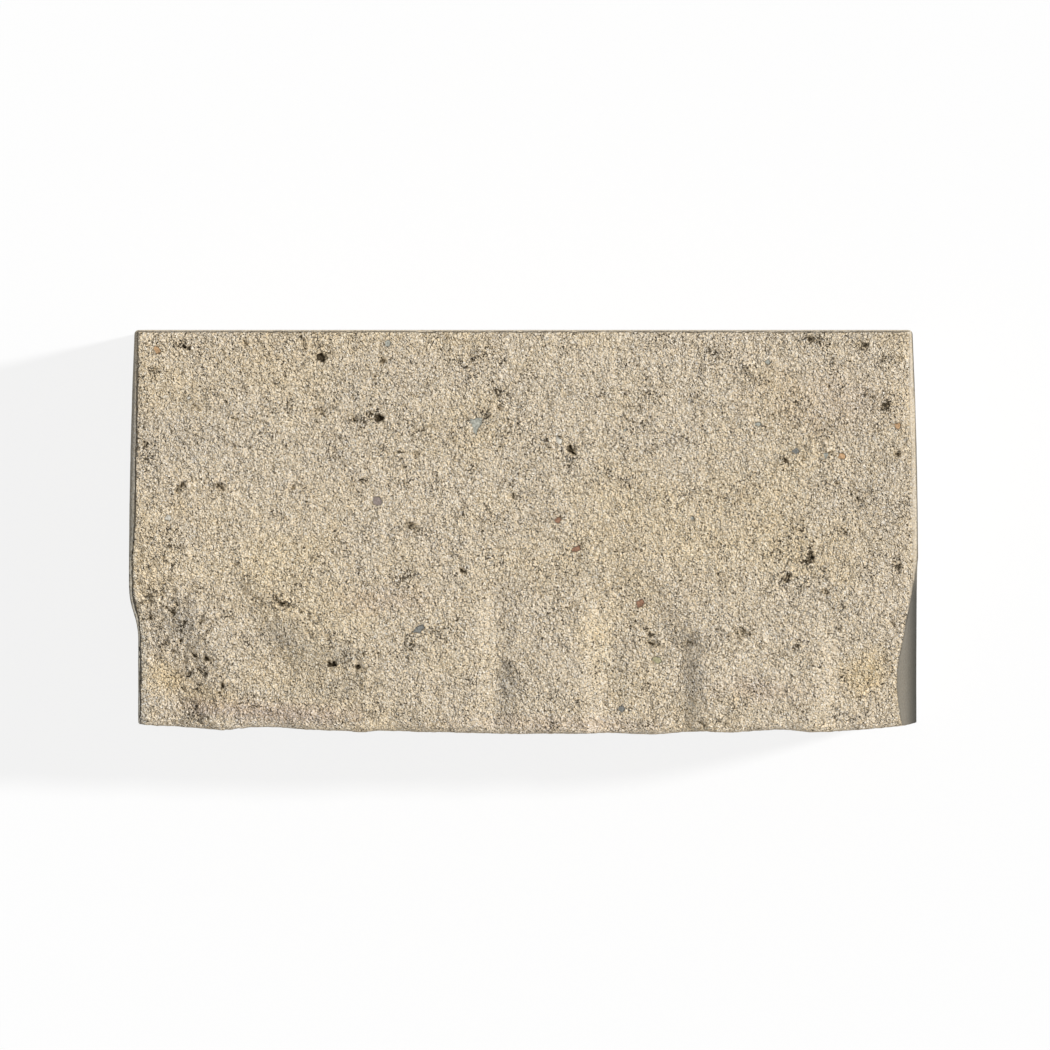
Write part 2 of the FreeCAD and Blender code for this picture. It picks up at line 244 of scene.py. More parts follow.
# Soft patches of another colour in the top, most of them tone of the concrete, some painted shade (the grey
# ones at 506 and 694 across) and one painted highlight (the pale one at 600 across): pixel across, pixel
# down, length and width in millimetres, turn in degrees, kind, strength
TONE_AND_SHADE_PATCHES = (
    (300, 645, 62, 20, -38, "grey", 0.9),
    (345, 655, 40, 18, -60, "grey", 0.7),
    (185, 625, 38, 22, -60, "grey", 0.9),
    (330, 690, 70, 16, 0, "grey", 0.55),
    (270, 712, 110, 13, -3, "pink", 0.9),
    (300, 718, 140, 12, -1, "grey", 0.5),
    (560, 724, 120, 10, 0, "pink", 0.5),
    (165, 680, 20, 26, 80, "yellow", 1.0),
    (210, 695, 40, 12, -10, "yellow", 0.6),
    (865, 672, 34, 26, 60, "yellow", 0.9),
    (240, 560, 90, 26, 0, "pale", 0.7),
    # painted highlight on the right-facing slope of a flute
    (600, 660, 20, 40, 0, "pale", 0.8),
    (500, 500, 36, 16, 0, "pale", 0.7),
    (740, 545, 100, 24, 0, "pale", 0.6),
    # painted shade on the left-facing wall of a flute
    (506, 690, 12, 34, 0, "grey", 1.0),
    (592, 575, 34, 12, -60, "grey", 0.7),
    (622, 665, 14, 40, 0, "grey", 0.6),
    # painted shade on the left-facing wall of a flute
    (694, 690, 14, 40, 0, "grey", 0.8),
    (690, 640, 34, 10, 0, "grey", 0.5),
    (760, 690, 60, 16, 0, "pink", 0.5),
    (380, 600, 60, 18, 0, "pink", 0.5),
    (880, 470, 30, 80, 0, "grey", 0.4),
    (820, 400, 80, 40, 0, "pink", 0.35),
    (180, 440, 60, 60, 0, "grey", 0.35),
)
# Colours of the patches; grey also serves as painted shade and pale as painted highlight
TONE_AND_SHADE_COLOURS = {
    "grey": (0.80, 0.82, 0.86),
    "pink": (0.92, 0.87, 0.89),
    "yellow": (1.04, 0.98, 0.84),
    "pale": (1.09, 1.08, 1.04),
}
# Painted shade on the right front wall and darker at its outer rim, along the right side's upper rim and
# along the left edge; painted light on the front roll
PAINTED_WALL_SHADE = (0.50, 0.51, 0.52)
PAINTED_WALL_RIM_SHADE = (0.28, 0.29, 0.27)
PAINTED_SIDE_RIM_SHADE = (0.32, 0.31, 0.29)
PAINTED_LEFT_EDGE_SHADE = (0.78, 0.81, 0.85)
PAINTED_FRONT_ROLL_LIGHT = (1.15, 1.15, 1.15)


def lattice_skin(low, high, cell):
    """A closed skin of near-square cells over a box, as points and the four corners of each cell."""
    counts = [max(2, round((high[i] - low[i]) / cell)) for i in range(3)]
    across, deep, tall = counts
    shape = (across + 1, deep + 1, tall + 1)
    on_skin = np.zeros(shape, bool)
    for axis in range(3):
        on_skin[tuple(0 if i == axis else slice(None) for i in range(3))] = True
        on_skin[tuple(-1 if i == axis else slice(None) for i in range(3))] = True
    number = np.full(shape, -1, np.int32)
    number[on_skin] = np.arange(on_skin.sum(), dtype=np.int32)
    steps = np.argwhere(on_skin)
    points = np.array(low) + steps / np.array(counts) * (np.array(high) - np.array(low))

    quads = []
    for axis in range(3):
        for side in (0, -1):
            sheet = number[tuple(side if i == axis else slice(None) for i in range(3))]
            corners = [sheet[:-1, :-1], sheet[1:, :-1], sheet[1:, 1:], sheet[:-1, 1:]]
            quad = np.stack([corner.ravel() for corner in corners], axis=1)
            outward_is_plain = (axis != 1) == (side == -1)
            quads.append(quad if outward_is_plain else quad[:, ::-1])
    return points, np.concatenate(quads)


def onto_solid(points, solid):
    """The points moved onto the solid, each along the line that fans out to it from the solid's core."""
    mesh = solid.data
    tree = BVHTree.FromPolygons([v.co for v in mesh.vertices], [p.vertices for p in mesh.polygons])
    core_low = np.array(cad_low) + CORE_DEPTH
    core_high = np.array(cad_high) - CORE_DEPTH
    starts = np.clip(points, core_low, core_high)
    ways = points - starts
    placed = points.copy()
    for index, (start, way) in enumerate(zip(starts, ways)):
        hit = tree.ray_cast(Vector(start), Vector(way))[0]
        if hit is not None:
            placed[index] = hit
    return placed


def neighbours_mean(values, quads, weights):
    """Each point's value moved towards the mean of its neighbours by its weight."""
    starts = quads.ravel()
    ends = np.roll(quads, -1, axis=1).ravel()
    count = np.bincount(starts, minlength=len(values)) + np.bincount(ends, minlength=len(values))
    mean = np.empty_like(values)
    for axis in range(values.shape[1]):
        total = np.bincount(starts, values[ends, axis], len(values))
        total += np.bincount(ends, values[starts, axis], len(values))
        mean[:, axis] = total / count
    return values + weights[:, None] * (mean - values)


def hashed(cells, seed):
    """A random number from 0 to 1 for each whole-numbered place."""
    mixed = cells.astype(np.int64) * np.array([73856093, 19349663, 83492791])
    mixed = (mixed.sum(axis=-1) ^ (seed * 2654435761)) & 0xFFFFFFFF
    mixed = ((mixed ^ (mixed >> 15)) * 2246822519) & 0xFFFFFFFF
    mixed = ((mixed ^ (mixed >> 13)) * 3266489917) & 0xFFFFFFFF
    return ((mixed ^ (mixed >> 16)) & 0xFFFFFF) / 0xFFFFFF


def noise(points, size, seed):
    """Smooth random hills, from about -1 to 1, of the given size."""
    place = points / size
    base = np.floor(place)
    part = place - base
    fade = part * part * part * (part * (part * 6 - 15) + 10)
    total = np.zeros(len(points))
    for corner in np.ndindex(2, 2, 2):
        corner = np.array(corner)
        cell = base + corner
        away = part - corner
        slope = np.stack([hashed(cell, seed + i) for i in range(3)], axis=1) * 2 - 1
        share = np.prod(np.where(corner == 1, fade, 1 - fade), axis=1)
        total += share * (slope * away).sum(axis=1)
    return total * 1.6


def layered(points, size, seed, layers=3, fade=0.5):
    """Several sizes of noise laid over each other, each half as large as the last."""
    total = np.zeros(len(points))
    strength = 1.0
    for layer in range(layers):
        total += strength * noise(points, size / 2**layer, seed + 10 * layer)
        strength *= fade
    return total


def scattered(points, spacing, seed):
    """Distance to the nearest of many scattered spots, and that spot's own random number."""
    place = points / spacing
    base = np.floor(place)
    nearest = np.full(len(points), 9.0)
    owner = np.zeros(len(points))
    for offset in np.ndindex(3, 3, 3):
        cell = base + np.array(offset) - 1
        spot = cell + np.stack([hashed(cell, seed + i) for i in range(3)], axis=1)
        away = np.sqrt(((place - spot) ** 2).sum(axis=1))
        closer = away < nearest
        nearest = np.where(closer, away, nearest)
        owner = np.where(closer, hashed(cell, seed + 5), owner)
    return nearest * spacing, owner


def rise(value, start, end):
    """From 0 at start to 1 at end, without a kink."""
    share = np.clip((value - start) / (end - start), 0, 1)
    return share * share * (3 - 2 * share)


def oval_distance(points, across, down, length, width, turn):
    """Distance from an oval's middle as a share of its reach, on the top."""
    x, y = at_pixel(across, down)
    angle = math.radians(turn)
    along = (points[:, 0] - x) * math.cos(angle) + (points[:, 1] - y) * math.sin(angle)
    over = (points[:, 1] - y) * math.cos(angle) - (points[:, 0] - x) * math.sin(angle)
    return np.hypot(along / (length / 2 * MM), over / (width / 2 * MM))


def angular_distance(points, across, down, length, width, turn, corners):
    """The same for a stone with the given number of blunt corners, the first one on its long side."""
    x, y = at_pixel(across, down)
    angle = math.radians(turn)
    along = ((points[:, 0] - x) * math.cos(angle) + (points[:, 1] - y) * math.sin(angle)) / (length / 2 * MM)
    over = ((points[:, 1] - y) * math.cos(angle) - (points[:, 0] - x) * math.sin(angle)) / (width / 2 * MM)
    share = 0.8 * np.hypot(along, over)
    for side in range(corners):
        facing = 2 * math.pi * (side + 0.5) / corners
        apart = along * math.cos(facing) + over * math.sin(facing)
        share = np.maximum(share, apart / math.cos(math.pi / corners) * CORNER_BLUNTNESS)
    return share


def relief(points, normals):
    """How far each point is sunk below the solid, its pits' depth in mm, its roughness and crumbs."""
    faces_up = rise(normals[:, 2], 0.35, 0.75)
    faces_front = rise(-normals[:, 1], 0.35, 0.75)
    rough = 1 - moulded(points, normals)

    grain = 0.22 * noise(points, 3.6 * MM, SEED + 1)
    lumps = 0.2 * layered(points, 8 * MM, SEED + 2)
    swell = 0.15 * noise(points, 38 * MM, SEED + 3)
    sunk = 0.26 + (grain + lumps + swell) * (0.12 + 0.88 * rough)
    off_middle = np.abs(points[:, 2] - CENTRE.z) / (SIZE.z / 2)
    sunk += faces_front * rise(off_middle, 0.1, 0.7) * 0.9 * np.abs(layered(points, 17 * MM, SEED + 4))

    warp = np.stack([layered(points, 3.0 * MM, SEED + 20 + i, 2) for i in range(3)], axis=1) * 1.5 * MM
    warped = points + warp
    broken = broken_corner(points) * faces_up
    clusters = noise(points, 24 * MM, SEED + 6) + 0.35 * noise(points, 9 * MM, SEED + 7)
    clusters = np.clip(rise(clusters, -0.05, 0.5) + 1.2 * broken, 0, 1.2)
    open_share = clusters * (0.08 + 0.92 * rough)
    pits = 1.6 * rise(layered(points, 3.6 * MM, SEED + 13, 2), 0.62, 1.25) * open_share
    for spacing, most, depth, seed in ((12.0, 1.8, 1.1, 30), (26.0, 2.7, 1.6, 40)):
        away, owner = scattered(warped, spacing * MM, SEED + seed)
        reach = most * MM * (0.45 + 0.55 * owner)
        pits = np.maximum(pits, depth * (1 - rise(away / reach, 0.5, 1.1)) * open_share)

    on_top = faces_up > 0.2
    top_points = warped[on_top]
    holes = np.zeros(len(top_points))
    loose = np.zeros(len(top_points))
    for across, down, length, width, depth, turn in HOLES:
        share = oval_distance(top_points, across, down, length, width, turn)
        holes = np.maximum(holes, depth * (1 - rise(share, 0.55, 1.15)))
        loose = np.maximum(loose, 0.7 * (1 - rise(share, 1.0, 2.6)))
    edge = 0.45 * layered(top_points, 6 * MM, SEED + 14)
    for across, down, length, width, turn, strength in CRUSTS:
        share = oval_distance(top_points, across, down, length, width, turn) + edge
        loose = np.maximum(loose, strength * (1 - rise(share, 0.5, 1.3)))
    pits[on_top] = np.maximum(pits[on_top], holes)
    crumbly = 0.6 * broken + 0.5 * rise(layered(points, 10 * MM, SEED + 15), 0.4, 0.9) * rough * faces_up
    crumbly[on_top] = np.maximum(crumbly[on_top], loose * rough[on_top])

    crust = 1.1 * broken * np.abs(layered(points, 7 * MM, SEED + 8))
    chance = scattered(warped, CRUMB_SPACING, SEED + 50)[1]
    crust += crumbly * (1.6 * chance * chance + 0.5 * np.abs(layered(points, 4.6 * MM, SEED + 16)))
    crumbs = crumbled_edge(points) * np.clip(2.2 * layered(points, 4 * MM, SEED + 9) - 0.3, 0, 1.8)
    sunk = np.maximum(sunk + pits + crust + crumbs, 0.02) * MM
    # The second value, the pits' depth with the crust and the back edge's crumbs, sets painted shade in the
    # material
    return sunk, pits + 0.5 * crust + crumbs, rough, crumbly


def moulded(points, normals):
    """1 where the mould left a smooth skin, on the sides, back and lower bed, and 0 elsewhere."""
    steep = rise(np.abs(normals[:, 0]), 0.55, 0.8)
    set_back = RECESS_DEPTH * MM * (1 - rise(points[:, 1] - FRONT, *RECESS_CURVE))
    from_side = np.minimum(points[:, 0] - LEFT - set_back, RIGHT - points[:, 0])
    rounded = rise(np.abs(normals[:, 0]), 0.1, 0.35) * (1 - rise(from_side, 3 * MM, 6 * MM))
    behind = rise(normals[:, 1], 0.6, 0.85)
    below = rise(-normals[:, 2], 0.4, 0.75)
    return np.maximum.reduce([steep, rounded, behind, below])


def tints_and_painted_shade(points, normals):
    """The colour that each point's concrete is multiplied by: soft patches of tone, of painted shade and of
    painted highlight, painted shade on the right front wall and darker at its outer rim, painted shade along
    the right side's upper rim and the left edge's band, and painted light on the front roll.
    """
    colours = np.ones((len(points), 4))
    on_top = points[:, 2] > TOP - 30 * MM
    warp = 0.35 * layered(points, 16 * MM, SEED + 70)
    # Patches of tone, some of them painted shade and one a painted highlight
    for across, down, length, width, turn, kind, strength in TONE_AND_SHADE_PATCHES:
        share = oval_distance(points, across, down, length, width, turn) + warp
        weight = strength * (1 - rise(share, 0.2, 1.2)) * on_top
        colours[:, :3] *= 1 + weight[:, None] * (np.array(TONE_AND_SHADE_COLOURS[kind]) - 1)
    # Painted shade on the steep wall at the right front corner, darker still towards its outer rim
    behind_wall = rise(points[:, 1] - FRONT, *WALL_END)
    wall = rise(normals[:, 0], 0.35, 0.7) * (1 - behind_wall)
    wall *= rise(points[:, 2], TOP - 135 * MM, TOP - 70 * MM)
    colours[:, :3] *= 1 + wall[:, None] * (np.array(PAINTED_WALL_SHADE) - 1)
    painted_rim_shade = wall * (1 - rise(RIGHT - points[:, 0], -1 * MM, 8 * MM))
    colours[:, :3] *= 1 + painted_rim_shade[:, None] * (np.array(PAINTED_WALL_RIM_SHADE) - 1)
    # Painted shade along the upper rim of the right side
    painted_side_rim_shade = rise(normals[:, 0], 0.7, 0.95) * rise(points[:, 2], TOP - 14 * MM, TOP - 7 * MM)
    colours[:, :3] *= 1 + (painted_side_rim_shade * behind_wall)[:, None] * (np.array(PAINTED_SIDE_RIM_SHADE) - 1)
    # Painted shade in a band along the left edge of the top
    near_front = 1 - rise(points[:, 1] - FRONT, *RECESS_CURVE)
    band = (3.5 + 1.5 * near_front + noise(points, 9 * MM, SEED + 71)) * MM
    from_left = points[:, 0] - LEFT - RECESS_DEPTH * MM * near_front
    left = (1 - rise(from_left / band, 0.7, 1.2)) * on_top
    colours[:, :3] *= 1 + left[:, None] * (np.array(PAINTED_LEFT_EDGE_SHADE) - 1)
    # Painted light on the front roll of the top
    painted_front_roll_light = rise(-normals[:, 1], 0.1, 0.5) * (1 - rise(-normals[:, 1], 0.85, 1)) * on_top
    colours[:, :3] *= 1 + painted_front_roll_light[:, None] * (np.array(PAINTED_FRONT_ROLL_LIGHT) - 1)
    return colours


def broken_corner(points):
    """1 on the broken slope at the left front corner and 0 away from it."""
    from_left = (points[:, 0] - LEFT) / MM
    behind = (points[:, 1] - FRONT) / MM
    reach = np.hypot(from_left / BROKEN_RUN, behind / BROKEN_REACH) + 0.12 * noise(points, 14 * MM, SEED + 11)
    return rise(reach, 0.5, 0.75) * (1 - rise(reach, 1.1, 1.4))


def crumbled_edge(points):
    """1 at the sharp upper edge along the back and 0 away from it."""
    return 1 - rise(np.hypot(BACK - points[:, 1], TOP - points[:, 2]), 0.2 * MM, 2.6 * MM)


def stone_marks(points):
    """For each point, the distance inside the nearest showing stone's edge, and that stone's colour."""
    inside = np.full(len(points), -1.0)
    colours = np.zeros((len(points), 4))
    best = np.full(len(points), 1e9)
    on_top = points[:, 2] > TOP - 30 * MM
    warp = 0.22 * noise(points, 3 * MM, SEED + 60)
    for across, down, length, width, turn, corners, kind in STONES:
        share = angular_distance(points, across, down, length, width, turn, corners) + warp
        closer = on_top & (share < best)
        best = np.where(closer, share, best)
        inside = np.where(closer, (1 - share) * width / 2, inside)
        colours[closer] = (*STONE_COLOURS[kind], 1)
    return np.clip(inside, -1, 1), colours


def make_mesh(name, points, quads):
    mesh = bpy.data.meshes.new(name)
    mesh.vertices.add(len(points))
    mesh.vertices.foreach_set("co", points.astype(np.float32).ravel())
    mesh.loops.add(quads.size)
    mesh.loops.foreach_set("vertex_index", quads.astype(np.int32).ravel())
    mesh.polygons.add(len(quads))
    mesh.polygons.foreach_set("loop_start", np.arange(0, quads.size, 4, dtype=np.int32))
    mesh.update(calc_edges=True)
    return mesh


def smooth_normals(mesh, quads):
    """The mesh's point normals, evened out over a few cells."""
    normals = np.zeros(len(mesh.vertices) * 3, np.float32)
    mesh.vertex_normals.foreach_get("vector", normals)
    normals = normals.reshape(-1, 3).astype(float)
    even = np.full(len(normals), 1.0)
    for _ in range(2):
        normals = neighbours_mean(normals, quads, even)
    return normals / np.linalg.norm(normals, axis=1)[:, None]


def make_block():
    """The block's skin: a fine grid laid onto the solid, evened out, and sunk by the relief."""
    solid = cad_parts["wall_block"]
    lattice, quads = lattice_skin(cad_low, cad_high, CELL)
    points = onto_solid(lattice, solid)
    from_edges = np.minimum.reduce(
        [
            lattice[:, 0] - LEFT + 0.5 * CELL,
            RIGHT - lattice[:, 0] + 0.5 * CELL,
            lattice[:, 2] + 0.5 * CELL,
            np.hypot(BACK - lattice[:, 1], TOP - lattice[:, 2]),
        ]
    )
    evened = rise(from_edges, 0, 8 * MM) * (lattice[:, 1] < CENTRE.y + 20 * MM)
    for _ in range(6):
        points = neighbours_mean(points, quads, evened)
    mesh = make_mesh("wall_block_skin", points, quads)
    normals = smooth_normals(mesh, quads)
    depth, pits, rough, crumbly = relief(points, normals)
    points -= normals * depth[:, None]
    points = np.clip(points, np.array(cad_low), np.array(cad_high))
    mesh.vertices.foreach_set("co", points.astype(np.float32).ravel())

    bunch = layered(points, OPEN_PATCH_SIZE, SEED + 80, fade=0.65)
    inside, colours = stone_marks(points)
    tint_and_painted_shade = tints_and_painted_shade(points, normals)
    for name, kind, values in (
        ("rough", "FLOAT", rough),
        ("pits", "FLOAT", pits),
        ("crumbly", "FLOAT", crumbly),
        ("bunch", "FLOAT", bunch),
        ("stone_inside", "FLOAT", inside),
        ("stone_colour", "FLOAT_COLOR", colours),
        ("tint_and_painted_shade", "FLOAT_COLOR", tint_and_painted_shade),
    ):
        attribute = mesh.attributes.new(name, kind, "POINT")
        field = "color" if kind == "FLOAT_COLOR" else "value"
        attribute.data.foreach_set(field, values.astype(np.float32).ravel())
    mesh.shade_smooth()
    mesh.update()

    block = bpy.data.objects.new("wall_block_skin", mesh)
    bpy.context.scene.collection.objects.link(block)
    thin = block.modifiers.new("thin", "DECIMATE")
    thin.ratio = min(1.0, MOST_TRIANGLES / (2 * len(quads)))
    apply_modifiers(block)
    lay_out_charts(block.data)
    return block


def lay_out_charts(mesh):
    """A flat chart for each of the block's six sides, laid side by side in the unit square."""
    corners = np.zeros(len(mesh.vertices) * 3, np.float32)
    mesh.vertices.foreach_get("co", corners)
    corners = corners.reshape(-1, 3)
    middles = np.zeros(len(mesh.polygons) * 3, np.float32)
    mesh.polygons.foreach_get("center", middles)
    middles = middles.reshape(-1, 3)
    ways = middles - np.clip(middles, np.array(cad_low) + CORE_DEPTH, np.array(cad_high) - CORE_DEPTH)
    axis = np.argmax(np.abs(ways), axis=1)
    positive = np.take_along_axis(ways, axis[:, None], axis=1)[:, 0] > 0

    loop_vertex = np.zeros(len(mesh.loops), np.int32)
    mesh.loops.foreach_get("vertex_index", loop_vertex)
    sizes = np.zeros(len(mesh.polygons), np.int32)
    mesh.polygons.foreach_get("loop_total", sizes)
    loop_axis = np.repeat(axis, sizes)
    loop_positive = np.repeat(positive, sizes)
    places = corners[loop_vertex] - np.array(cad_low)

    wide, deep, tall = SIZE
    gap = CHART_GAP
    charts = (
        # side, on the far side, first and second direction, corner of the chart
        (2, True, 0, 1, (gap, gap)),
        (1, False, 0, 2, (gap, deep + 2 * gap)),
        (2, False, 0, 1, (gap, deep + tall + 3 * gap)),
        (1, True, 0, 2, (gap, 2 * deep + tall + 4 * gap)),
        (0, False, 1, 2, (wide + 2 * gap, gap)),
        (0, True, 1, 2, (wide + 2 * gap, tall + 2 * gap)),
    )
    square = max(2 * (deep + tall) + 5 * gap, wide + deep + 3 * gap)
    flat = np.zeros((len(loop_vertex), 2))
    for side, far, first, second, corner in charts:
        here = (loop_axis == side) & (loop_positive == far)
        flat[here] = (places[here][:, [first, second]] + np.array(corner)) / square
    layer = mesh.uv_layers.new(name="OFBake")
    layer.data.foreach_set("uv", flat.astype(np.float32).ravel())


def apply_modifiers(thing):
    """Replaces the object's mesh by what its modifiers make of it."""
    seen = thing.evaluated_get(bpy.context.evaluated_depsgraph_get())
    mesh = bpy.data.meshes.new_from_object(seen)
    thing.modifiers.clear()
    thing.data = mesh


class Nodes:
    """A short way of writing a material's nodes."""

    def __init__(self, name):
        self.material = bpy.data.materials.new(name)
        self.material.use_nodes = True
        self.tree = self.material.node_tree
        self.tree.nodes.clear()

    def add(self, kind, inputs=None, **settings):
        node = self.tree.nodes.new(kind)
        for key, value in settings.items():
            setattr(node, key, value)
        for key, value in (inputs or {}).items():
            if isinstance(value, bpy.types.NodeSocket):
                self.tree.links.new(value, node.inputs[key])
            else:
                node.inputs[key].default_value = value
        return node

    def maths(self, operation, first, second=0.0, third=0.0):
        node = self.add("ShaderNodeMath", {0: first, 1: second, 2: third}, operation=operation)
        return node.outputs[0]

    def between(self, value, start, end, low=0.0, high=1.0, kind="SMOOTHSTEP"):
        """The value's place from start to end, as low to high."""
        inputs = {"Value": value, "From Min": start, "From Max": end, "To Min": low, "To Max": high}
        return self.add("ShaderNodeMapRange", inputs, interpolation_type=kind).outputs[0]

    def mix(self, share, first, second, blend="MIX"):
        node = self.add("ShaderNodeMix", data_type="RGBA", blend_type=blend)
        for socket, value in ((0, share), (6, first), (7, second)):
            if isinstance(value, bpy.types.NodeSocket):
                self.tree.links.new(value, node.inputs[socket])
            else:
                node.inputs[socket].default_value = value
        return node.outputs[2]

    def noise(self, place, size, detail=2.0, roughness=0.5):
        inputs = {"Vector": place, "Scale": 1 / (size * MM), "Detail": detail, "Roughness": roughness}
        return self.add("ShaderNodeTexNoise", inputs).outputs["Fac"]

    def cells(self, place, size, feature="F1"):
        inputs = {"Vector": place, "Scale": 1 / (size * MM)}
        return self.add("ShaderNodeTexVoronoi", inputs, feature=feature)

    def ramp(self, value, stops):
        node = self.add("ShaderNodeValToRGB", {"Fac": value})
        ramp = node.color_ramp
        while len(ramp.elements) < len(stops):
            ramp.elements.new(0.5)
        for element, (place, colour) in zip(ramp.elements, stops):
            element.position = place
            element.color = (*colour, 1)
        return node.outputs["Color"]


# Sizes of the grain in mm, and the tones of single grains from the darkest to the palest
SAND_SIZE = 0.62
GRAIN_SIZE = 1.15
CRUMB_SIZE = 3.0
SAND_TONES = (
    (0.0, (0.37, 0.295, 0.2)),
    (0.15, (0.60, 0.50, 0.36)),
    (0.42, (0.81, 0.685, 0.51)),
    (0.8, (0.925, 0.80, 0.615)),
    (1.0, (1.0, 0.92, 0.78)),
)
# Colours under the grain: painted shade for crevices, deep pits and stones' edges; painted light and shade of
# pit walls, darker with depth; the mould's skin on the sides
PAINTED_CREVICE_SHADE = (0.06, 0.042, 0.021, 1)
PAINTED_PIT_WALL_SHADE = (0.50, 0.39, 0.23, 1)
SKIN_COLOUR = (0.42, 0.375, 0.305, 1)
SAND_HUES = ((1.05, 0.99, 0.88, 1), (0.96, 1.0, 1.09, 1))
WHITE = (1, 1, 1, 1)
YELLOWED = (1.01, 0.985, 0.92, 1)
# Paler taller crumbs, a painted light
PAINTED_CRUMB_LIGHT = (1.25, 1.25, 1.25, 1)
# Crevices: size in mm, how much of the surface they take where it is dense and where it is open
CREVICE_SIZE = 1.6
CREVICE_SHARE = (0.258, 0.45)
CREVICE_EDGE = 0.03
FINE_CREVICE_SIZE = 1.0
FINE_CREVICE_SHARE = (0.338, 0.405)
# Pit depths in mm over which the deepest pits turn to painted shade
DEPTHS_OF_PAINTED_PIT_SHADE = (1.5, 2.2)


class ConcreteNodes(Nodes):
    """The parts that the concrete is made of, in mm where they are heights."""

    def attribute(self, name, output="Fac"):
        return self.add("ShaderNodeAttribute", attribute_name=name).outputs[output]

    def wander(self, place, size, reach):
        """The place shifted about by up to half the reach, so that round shapes get ragged."""
        inputs = {"Vector": place, "Scale": 1 / (size * MM), "Detail": 1.0}
        bend = self.add("ShaderNodeTexNoise", inputs).outputs["Color"]
        middle = (0.5, 0.5, 0.5)
        shift = self.add("ShaderNodeVectorMath", {0: bend, 1: middle}, operation="SUBTRACT").outputs[0]
        scale = {0: shift, "Scale": reach * MM}
        shift = self.add("ShaderNodeVectorMath", scale, operation="SCALE").outputs[0]
        return self.add("ShaderNodeVectorMath", {0: place, 1: shift}, operation="ADD").outputs[0]

    def ragged(self, value, place, size, amount):
        """The value raised and lowered by noise, so that what it ends at gets a ragged edge."""
        noise = self.maths("SUBTRACT", self.noise(place, size, 2.0, 0.6), 0.5)
        return self.maths("ADD", value, self.maths("MULTIPLY", noise, amount))

    def times(self, first, second):
        return self.mix(1.0, first, second, "MULTIPLY")

    def sand(self, place, tint_and_painted_shade):
        """Grain by grain the sandy colour, times the tint, which carries painted shade and light."""
        cells = self.cells(place, SAND_SIZE)
        chance = self.add("ShaderNodeSeparateColor", {0: cells.outputs["Color"]})
        tone = self.times(self.ramp(chance.outputs[0], SAND_TONES), self.mix(chance.outputs[2], *SAND_HUES))
        yellow = self.between(self.noise(place, 60, 3.0, 0.55), 0.42, 0.66)
        return self.times(self.times(tone, self.mix(yellow, WHITE, YELLOWED)), tint_and_painted_shade)

    def crevices(self, bent, bunch, pits, rough, crumbly):
        """Where fines are missing between the grains: the middle as painted shade, and the dip round it."""
        share = self.between(bunch, -0.1, 1.25, *CREVICE_SHARE)
        share = self.maths("ADD", share, self.between(pits, 0.05, 0.9, 0.0, 0.08))
        share = self.maths("ADD", share, self.between(crumbly, 0.1, 1.0, 0.0, 0.1))
        gap = self.maths("SUBTRACT", share, self.noise(bent, CREVICE_SIZE, 2.0, 0.6))
        fine_share = self.between(bunch, -1.2, 1.2, *FINE_CREVICE_SHARE)
        fine = self.maths("SUBTRACT", fine_share, self.noise(bent, FINE_CREVICE_SIZE, 1.0, 0.5))
        open_skin = self.between(rough, 0.3, 1.0)
        # The crevices' middle, which becomes painted shade
        dark = self.maths("MAXIMUM", self.between(gap, 0.0, CREVICE_EDGE), self.between(fine, 0.0, 0.04))
        dark = self.maths("MULTIPLY", dark, open_skin)
        dip = self.maths("MULTIPLY", self.between(gap, -0.06, 0.05), open_skin)
        return dark, dip

    def stones(self, place, bent, colour):
        """The colour with stones set in it, each with a painted shadow round its edge."""
        inside = self.ragged(self.attribute("stone_inside"), place, 1.8, 0.9)
        stone = self.between(inside, -0.08, 0.08)
        shade = self.between(self.noise(bent, 1.8, 3.0, 0.65), 0.3, 0.7)
        tone = self.mix(shade, (0.7, 0.7, 0.7, 1), (1.25, 1.25, 1.25, 1))
        tone = self.times(self.attribute("stone_colour", "Color"), tone)
        # A painted shadow round the stone's edge
        painted_rim_shade = self.maths(
            "MULTIPLY", self.between(inside, -0.4, -0.1), self.between(inside, -0.02, 0.06, 0.55, 0.0)
        )
        return self.mix(stone, self.mix(painted_rim_shade, colour, PAINTED_CREVICE_SHADE), tone)

    def crumb(self, bent):
        """A chance number for each crumb, by which it stands up and is paler, a painted light."""
        crumbs = self.cells(bent, CRUMB_SIZE)
        return self.add("ShaderNodeSeparateColor", {0: crumbs.outputs["Color"]}).outputs[0]

    def height(self, bent, bunch, crumb, crumbly):
        """Grains as domes of chance height, with finer and coarser unevenness, and steps between crumbs."""
        grains = self.cells(bent, GRAIN_SIZE)
        chance = self.add("ShaderNodeSeparateColor", {0: grains.outputs["Color"]}).outputs[1]
        dome = self.maths("SUBTRACT", 1.0, grains.outputs["Distance"])
        height = self.maths("MULTIPLY", dome, self.between(chance, 0.0, 1.0, 0.1, 0.9, "LINEAR"))
        for size, amount in ((0.7, 1.0), (1.3, 1.1), (2.6, 1.2), (5.0, 1.6)):
            height = self.maths("ADD", height, self.maths("MULTIPLY", self.noise(bent, size, 0.0), amount))
        height = self.maths("MULTIPLY", height, self.between(bunch, -0.8, 0.8, 0.88, 1.06))
        steps = self.maths("MULTIPLY", crumb, self.between(crumbly, 0.0, 1.0, 0.3, 3.2, "LINEAR"))
        return self.maths("ADD", height, steps)


